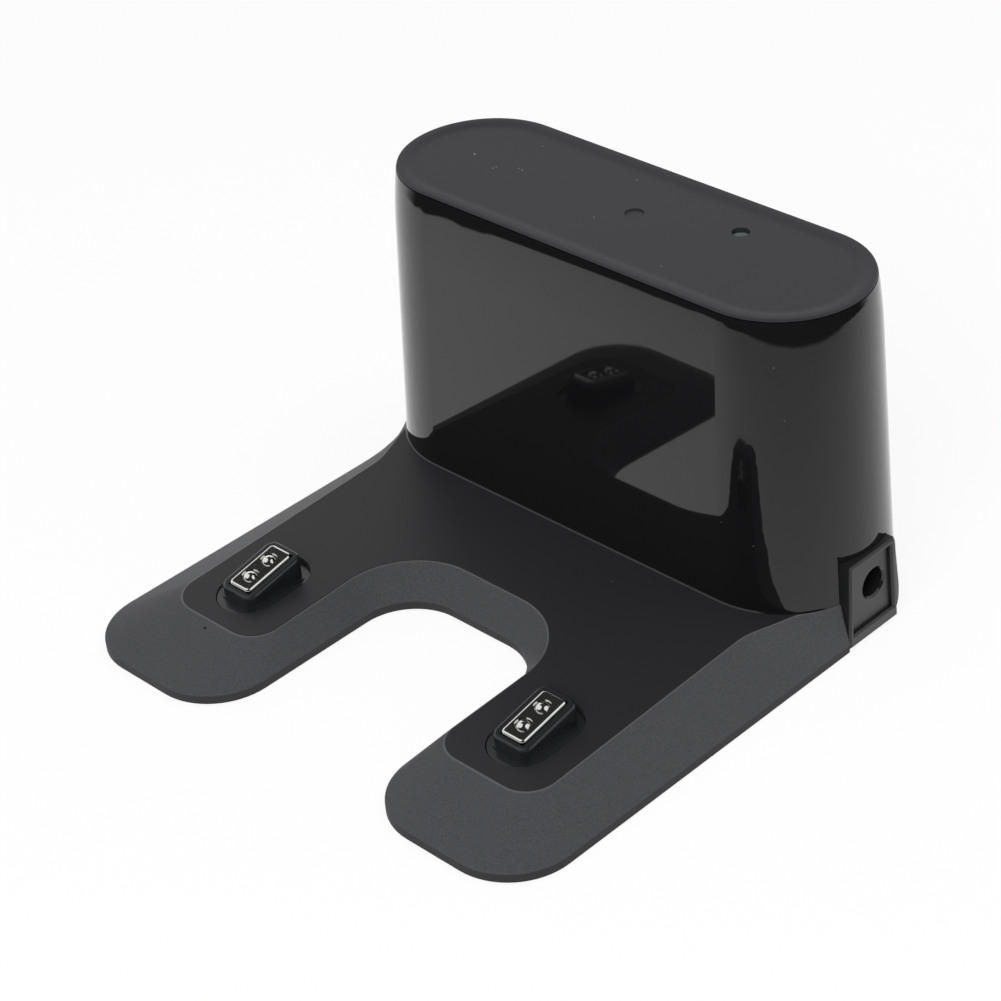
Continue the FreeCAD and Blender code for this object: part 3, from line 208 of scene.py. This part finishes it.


# %% [markdown]
# ## Ramp moulding
# The ramp is one black moulding with two finishes. The plateau, where the robot's underside passes, is
# smooth and satin. The skirt round it is spark-eroded in the mould, which leaves a fine even grain that
# catches light. Both are one CAD piece, so the material itself finds the border: the plateau is whatever
# lies in its plane, which rises gently to the back, and the skirt is everything below it. A thin light
# line along the plateau's rounded edge is a painted highlight, the upright wall along the foot is darker,
# and one dark spot and two specks of dust lie where the photograph shows them.

# %% Ramp finish
PLATEAU_SLOPE = math.tan(math.radians(2.27))
FOOT_PROUD, PLATEAU_HEIGHT, FRONT_RUN = 0.0006, 0.0089, 0.0199
PLATEAU_AT_MIDDLE = FOOT_PROUD + PLATEAU_HEIGHT - (cad_box[0][1] + FRONT_RUN) * PLATEAU_SLOPE
PLATEAU_BORDER = (-0.00012, -0.00004)
RIM_BELOW, RIM_ABOVE = (-0.00024, -0.00012), (-0.00009, -0.00003)
EDGE_WALL_TOP = (0.0026, 0.0030)
DARK_SPOT = (-0.0454, -0.0588, 0.0086), 0.0006
RAMP_DUST = (((0.0226, 0.0135, 0.0123), 0.0003), ((0.0300, 0.0190, 0.0125), 0.0002))

ramp, shader, place = start_finish("ramp_black", specular=0.3)
y, z = axes(place)[1:]
above_plateau = z - (PLATEAU_AT_MIDDLE + y * PLATEAU_SLOPE)
plateau = step(above_plateau, *PLATEAU_BORDER)
skirt = 1 - plateau
rim = step(above_plateau, *RIM_BELOW) * (1 - step(above_plateau, *RIM_ABOVE))
edge_wall = 1 - step(z, *EDGE_WALL_TOP)
grain = noise(place, 3400.0, detail=1.0, roughness=0.4)
fine = noise(place, 6000.0)
patches = noise(place, 22.0, detail=3.0)

skirt_colour = between(step(grain, 0.3, 0.75), (0.040, 0.041, 0.045), (0.062, 0.063, 0.068))
wall_colour = between(grain, (0.018, 0.018, 0.0195), (0.026, 0.026, 0.028))
plateau_colour = between(patches, (0.0152, 0.0155, 0.0172), (0.0178, 0.0181, 0.0200))
colour = between(plateau, between(edge_wall, skirt_colour, wall_colour), plateau_colour)
# The thin band along the plateau's rounded edge is painted lighter: a painted highlight.
colour = between(rim, colour, (0.085, 0.086, 0.092))
colour = between(dust(place, RAMP_DUST), colour, (0.09, 0.09, 0.09))
colour = between(spot(place, *DARK_SPOT), colour, (0.002, 0.002, 0.002))
plug(shader, base_color=colour,
     roughness=0.5 + skirt * grain * 0.16 - plateau * 0.08 - rim * 0.2 + patches * 0.05,
     normal=bump(skirt * (1 - edge_wall) * grain + plateau * fine * 0.1, distance=0.00008, strength=0.6))
dress(ramp, "base_top_shell")

# %% [markdown]
# ## Tower
# The tower's shell is high-gloss black, so it hardly shows a colour of its own: it mirrors the ramp, the
# floor and the room. Real mouldings are never perfectly flat, so a very weak, broad bump bends the mirror
# image a little, and a few specks of dust lie on it.

# %% Tower finish
TOWER_DUST = (((0.0609, 0.0297, 0.0791), 0.00022), ((0.0630, 0.0306, 0.0654), 0.00018),
              ((0.0376, 0.0241, 0.0438), 0.00022), ((0.0491, 0.0239, 0.0354), 0.00018),
              ((0.0573, 0.0256, 0.0312), 0.00018))

gloss, shader, place = start_finish("tower_gloss", specular=0.46)
swell = noise(place, 14.0, detail=1.0)
specks = dust(place, TOWER_DUST)
plug(shader, base_color=between(specks, (0.0050, 0.0050, 0.0056), (0.1, 0.1, 0.1)),
     roughness=0.035 + specks * 0.4 + swell * 0.01, normal=bump(swell, distance=0.00006, strength=0.5))
dress(gloss, "tower_shell")

# %% [markdown]
# ## Lid
# The lid has a very fine matte texture, which turns the white surroundings into one even dark grey. A
# little dust lies on its sunk field, most of it near the left end, as small bright specks.

# %% Lid finish
LID_FIELD = 0.0902
LID_DUST = ((-0.0516, 0.0496, 0.00030), (-0.0426, 0.0469, 0.00020), (-0.0423, 0.0478, 0.00018),
            (-0.0359, 0.0505, 0.00022), (-0.0372, 0.0506, 0.00018), (-0.0408, 0.0630, 0.00016),
            (-0.0052, 0.0431, 0.00018), (-0.0096, 0.0634, 0.00018), (0.0234, 0.0349, 0.00016))

matte, shader, place = start_finish("lid_matte", specular=0.4)
fine = noise(place, 5200.0)
patches = noise(place, 30.0, detail=3.0)
specks = dust(place, [((x, y, LID_FIELD), radius) for x, y, radius in LID_DUST])
colour = between(patches, (0.0225, 0.0225, 0.0258), (0.0260, 0.0260, 0.0296))
plug(shader, base_color=between(specks, colour, (0.4, 0.4, 0.4)),
     roughness=0.54 + fine * 0.12, normal=bump(fine, distance=0.00004, strength=0.5))
dress(matte, "top_cap")

# %% [markdown]
# ## Contact heads
# Each head is a satin black carrier with a bright nickel-plated plate let into its sloping top. The
# plating is close to a mirror, with hair-thin wear lines along the way that the robot's contacts slide
# over it, so its noise is stretched along Y.

# %% Contact finishes
WEAR_SCALE = (5200.0, 160.0, 900.0)

carrier, shader, place = start_finish("carrier_black")
fine = noise(place, 2600.0)
plug(shader, base_color=between(fine, (0.010, 0.0106, 0.0118), (0.0135, 0.0143, 0.0158)),
     roughness=0.20 + fine * 0.12, normal=bump(fine, distance=0.00003, strength=0.08))
dress(carrier, "left_contact_head", "right_contact_head")

nickel, shader, place = start_finish("contact_nickel", metallic=1.0)
lengthways = place.node("ShaderNodeMapping", {}, {"Vector": place, "Scale": WEAR_SCALE})
wear = noise(lengthways, 1.0, detail=3.0)
tarnish = noise(place, 420.0, detail=3.0)
plug(shader, base_color=between(tarnish, (0.66, 0.66, 0.64), (0.76, 0.76, 0.74)),
     roughness=0.05 + step(wear, 0.5, 0.8) * 0.10, normal=bump(wear, distance=0.00001, strength=0.06))
dress(nickel, "left_contact_plate", "right_contact_plate")

# %% [markdown]
# ## Power inlet
# The inlet's frame is a separate moulding in the same black. The rounded lip of its hole is polished by
# the plug, so it is smoother than the rest. Behind the hole sits the jack with its brass pin.

# %% Inlet finishes
HOLE_Y, HOLE_Z = 0.0497, 0.0146
LIP_EDGE = (0.0042, 0.0045)

inlet, shader, place = start_finish("inlet_black")
y, z = axes(place)[1:]
across, upward = y - HOLE_Y, z - HOLE_Z
from_hole = across.math("SQRT", across * across + upward * upward)
lip = 1 - step(from_hole, *LIP_EDGE)
grain = noise(place, 2200.0)
plug(shader, base_color=between(grain, (0.0075, 0.0078, 0.0083), (0.0110, 0.0114, 0.0120)),
     roughness=0.30 + grain * 0.14 - lip * 0.24,
     normal=bump(grain * (1 - lip), distance=0.00004, strength=0.4))
dress(inlet, "inlet_bezel")

jack, shader, place = start_finish("jack_black")
grain = noise(place, 1400.0)
plug(shader, base_color=between(grain, (0.008, 0.008, 0.008), (0.014, 0.014, 0.014)),
     roughness=0.34 + grain * 0.14, normal=bump(grain, distance=0.00004, strength=0.4))
dress(jack, "dc_jack", "emitter_shade")

brass, shader, place = start_finish("brass_tarnished", metallic=1.0)
tarnish = noise(place, 700.0, detail=4.0)
plug(shader, base_color=between(tarnish, (0.52, 0.37, 0.16), (0.72, 0.55, 0.27)),
     roughness=0.2 + tarnish * 0.25, normal=bump(tarnish, distance=0.00002, strength=0.3))
dress(brass, "dc_pin", "left_contact_terminal", "right_contact_terminal")

# %% [markdown]
# ## Lights of the dock
# A small clear lens in the lid, faintly green, covers the status light's diode. The infrared emitters
# that guide the robot sit behind the tower's front. All three are clear plastics that differ in tint and
# in how much light they let through, so one function makes them.


# %% Clear finishes
def clear_finish(name, dark, light, cloud_scale, roughness, transmission, ior=1.5):
    """A clear plastic, slightly clouded."""
    finish, shader, place = start_finish(name, transmission=transmission, ior=ior)
    cloud = noise(place, cloud_scale)
    plug(shader, base_color=between(cloud, dark, light), roughness=roughness + cloud * 0.1)
    return finish


dress(clear_finish("lens_green", (0.008, 0.035, 0.032), (0.02, 0.07, 0.064), cloud_scale=900.0,
                   roughness=0.05, transmission=0.6, ior=1.49), "status_lens")
dress(clear_finish("diode_clear", (0.55, 0.62, 0.58), (0.72, 0.78, 0.74), cloud_scale=1200.0,
                   roughness=0.06, transmission=0.7), "status_led")
dress(clear_finish("emitter_tinted", (0.03, 0.03, 0.06), (0.06, 0.06, 0.1), cloud_scale=800.0,
                   roughness=0.08, transmission=0.5), "infrared_emitters")

# %% [markdown]
# ## Underside and inner pieces
# The bottom plate has a plain moulded grain, the feet are soft rubber, and the screws are zinc-plated
# steel. Inside are green boards, insulated leads and a natural grey bracket. They need only one grain
# each, so one function makes them too.


# %% Plain finishes
def plain_finish(name, dark, light, grain_scale, roughness, metallic=0.0, depth=0.00005):
    """A finish with one grain, which shades the colour and the roughness and roughens the surface."""
    finish, shader, place = start_finish(name, metallic=metallic)
    grain = noise(place, grain_scale, detail=3.0)
    plug(shader, base_color=between(grain, dark, light),
         roughness=roughness - 0.08 + grain * 0.16, normal=bump(grain, depth, strength=0.5))
    return finish


dress(plain_finish("underside_black", (0.013, 0.013, 0.0135), (0.02, 0.02, 0.0205), grain_scale=1300.0,
                   roughness=0.6), "base_bottom_plate")
dress(plain_finish("foot_rubber", (0.022, 0.022, 0.022), (0.034, 0.034, 0.034), grain_scale=900.0,
                   roughness=0.85), "rubber_feet")
dress(plain_finish("zinc", (0.42, 0.42, 0.43), (0.6, 0.6, 0.62), grain_scale=1600.0, roughness=0.35,
                   metallic=1.0, depth=0.00002), "base_screws", "tower_screws", "board_screws")
dress(plain_finish("spring_wire", (0.48, 0.48, 0.5), (0.62, 0.62, 0.64), grain_scale=2000.0, roughness=0.28,
                   metallic=1.0, depth=0.00001), "left_contact_spring", "right_contact_spring")
dress(plain_finish("board_green", (0.012, 0.075, 0.032), (0.02, 0.11, 0.05), grain_scale=500.0,
                   roughness=0.4), "main_board", "indicator_board")
dress(plain_finish("bracket_grey", (0.09, 0.09, 0.092), (0.13, 0.13, 0.132), grain_scale=800.0,
                   roughness=0.55), "board_bracket")
dress(plain_finish("lead_sleeve_black", (0.01, 0.01, 0.01), (0.018, 0.018, 0.018), grain_scale=700.0,
                   roughness=0.5), "left_contact_lead", "inlet_leads")
dress(plain_finish("lead_sleeve_red", (0.22, 0.012, 0.01), (0.32, 0.02, 0.016), grain_scale=700.0,
                   roughness=0.5), "right_contact_lead")

# %% [markdown]
# ## Floor
# The dock stands on a white sheet in a dim room. The camera sees only the sheet, so for it the floor is
# plain white, with a faint shadow near the dock. The glossy tower and the metal contacts see more: in
# front of the dock, the sheet ends in a round edge, which puts the black band under the lid, and towards
# the front right the sheet's glow is lowered, which is painted shade. The Light Path node tells these
# kinds of rays apart. All other rays meet plain white paper.


# %% Floor
def ray_kinds(tree):
    """Wires that are 1 for rays from the camera, and for rays mirrored or passed on by a clear surface."""
    path = tree.nodes.new("ShaderNodeLightPath")
    seen, glossy, passed = (Wire(tree, path.outputs[f"Is {name} Ray"])
                            for name in ("Camera", "Glossy", "Transmission"))
    return seen, glossy.math("MAXIMUM", glossy, passed)


FLOOR_REACH = 3.0
SHEET_CENTRE, SHEET_RADIUS, SHEET_EDGE = (0.0, 0.06, 0.0), 0.305, 0.008
TO_FRONT = (0.6, -0.8, 0.0)
TO_PAINTED_SHADE_SIDE = (0.7, -0.7, 0.0)
SHEET_GLOW, SHEET_PAINTED_SHADE, BEYOND_SHEET = 1.17, 0.5, 0.05
GLOW_NEAR_DOCK = 0.88

floor_mesh = bpy.data.meshes.new("floor")
sheet = bmesh.new()
bmesh.ops.create_grid(sheet, x_segments=1, y_segments=1, size=FLOOR_REACH)
sheet.to_mesh(floor_mesh)
sheet.free()
floor = bpy.data.objects.new("floor", floor_mesh)
bpy.context.scene.collection.objects.link(floor)

paper, shader, place = start_finish("white_sheet", specular=0.1)
shader.inputs["Base Color"].default_value = (0.86, 0.86, 0.86, 1)
shader.inputs["Roughness"].default_value = 0.9
camera_ray, mirrored = ray_kinds(paper.node_tree)
away = distance(place, SHEET_CENTRE)
in_front = step(along(place, TO_FRONT), -0.18, -0.04)
on_sheet = 1 - in_front * step(away, SHEET_RADIUS - SHEET_EDGE, SHEET_RADIUS + SHEET_EDGE)
# Towards the sheet's front right, its glow in mirrors is lowered: painted shade.
glow_with_painted_shade = SHEET_GLOW - step(along(place, TO_PAINTED_SHADE_SIDE), -0.10, 0.20) * SHEET_PAINTED_SHADE
far = step(away, 0.3, 0.9)
glow = place.node("ShaderNodeEmission", {},
                  {"Strength": camera_ray + mirrored * (BEYOND_SHEET + on_sheet * glow_with_painted_shade)})
glow_share = camera_ray * (GLOW_NEAR_DOCK + far * (1 - GLOW_NEAR_DOCK)) + mirrored
mixed = place.node("ShaderNodeMixShader", {},
                   {0: glow_share, 1: Wire(paper.node_tree, shader.outputs[0]), 2: glow})
paper.node_tree.links.new(mixed.socket, paper.node_tree.nodes["Material Output"].inputs["Surface"])
floor_mesh.materials.append(paper)
print("floor made, mirrored as a sheet that ends", SHEET_RADIUS, "m in front of its centre")

# %% [markdown]
# ## Room
# For the camera the room is as white as the sheet. For mirrored rays, the white behind the dock ends at
# 40 to 45 degrees above the horizon, which darkens the contacts' tops, and two lamps shine in the
# contacts' edges and domes. All other rays get a plain, even light, so the room's shape changes no
# shadow.

# %% Room
BACKDROP_TOP = (0.64, 0.71)
BACKDROP_SIDES = (-0.10, 0.22)
TO_LAMPS = ((-0.45, -0.50, 0.74), (0.75, 0.35, 0.56))
LAMP_RIM = (0.83, 0.90)
DIM_ROOM, EVEN_LIGHT = 0.03, 0.45

world = bpy.data.worlds.new("room")
world.use_nodes = True
bpy.context.scene.world = world
camera_ray, mirrored = ray_kinds(world.node_tree)
view = Wire(world.node_tree).node("ShaderNodeTexCoord", output="Generated")
low = 1 - step(axes(view)[2], *BACKDROP_TOP)
behind = 1 - step(along(view, TO_FRONT), *BACKDROP_SIDES)
bright = low * behind
for direction in TO_LAMPS:
    bright = bright.math("MAXIMUM", bright, step(along(view, direction), *LAMP_RIM))
other_ray = 1 - camera_ray - mirrored
strength = camera_ray + mirrored * (DIM_ROOM + bright * (1 - DIM_ROOM)) + other_ray * EVEN_LIGHT
background = world.node_tree.nodes["Background"]
background.inputs["Color"].default_value = (1, 1, 1, 1)
world.node_tree.links.new(strength.socket, background.inputs["Strength"])
print("room made, with", len(TO_LAMPS), "mirrored lamps")

# %% [markdown]
# ## Light
# One broad soft light stands in front on the right, so skirts that face that way are lighter than those
# that face left. A weaker one overhead opens up the rest. Neither is mirrored: what glossy surfaces show
# is the sheet and the room above.


# %% Soft lights
def soft_light(name, place, width, watts):
    """A round area light that faces the dock."""
    light = bpy.data.lights.new(name, "AREA")
    light.shape = "DISK"
    light.size = width
    light.energy = watts
    lamp = bpy.data.objects.new(name, light)
    lamp.location = place
    lamp.rotation_euler = (-Vector(place)).to_track_quat("-Z", "Y").to_euler()
    lamp.visible_glossy = False
    bpy.context.scene.collection.objects.link(lamp)
    print("light", name, watts, "W")


soft_light("key", place=(0.50, -1.00, 1.0), width=0.9, watts=16.0)
soft_light("overhead", place=(0.45, 0.3, 1.2), width=0.9, watts=4.0)

# %% [markdown]
# ## Finish
# The colours are shown through the Standard view transform.

# %% View transform
bpy.context.scene.view_settings.view_transform = "Standard"
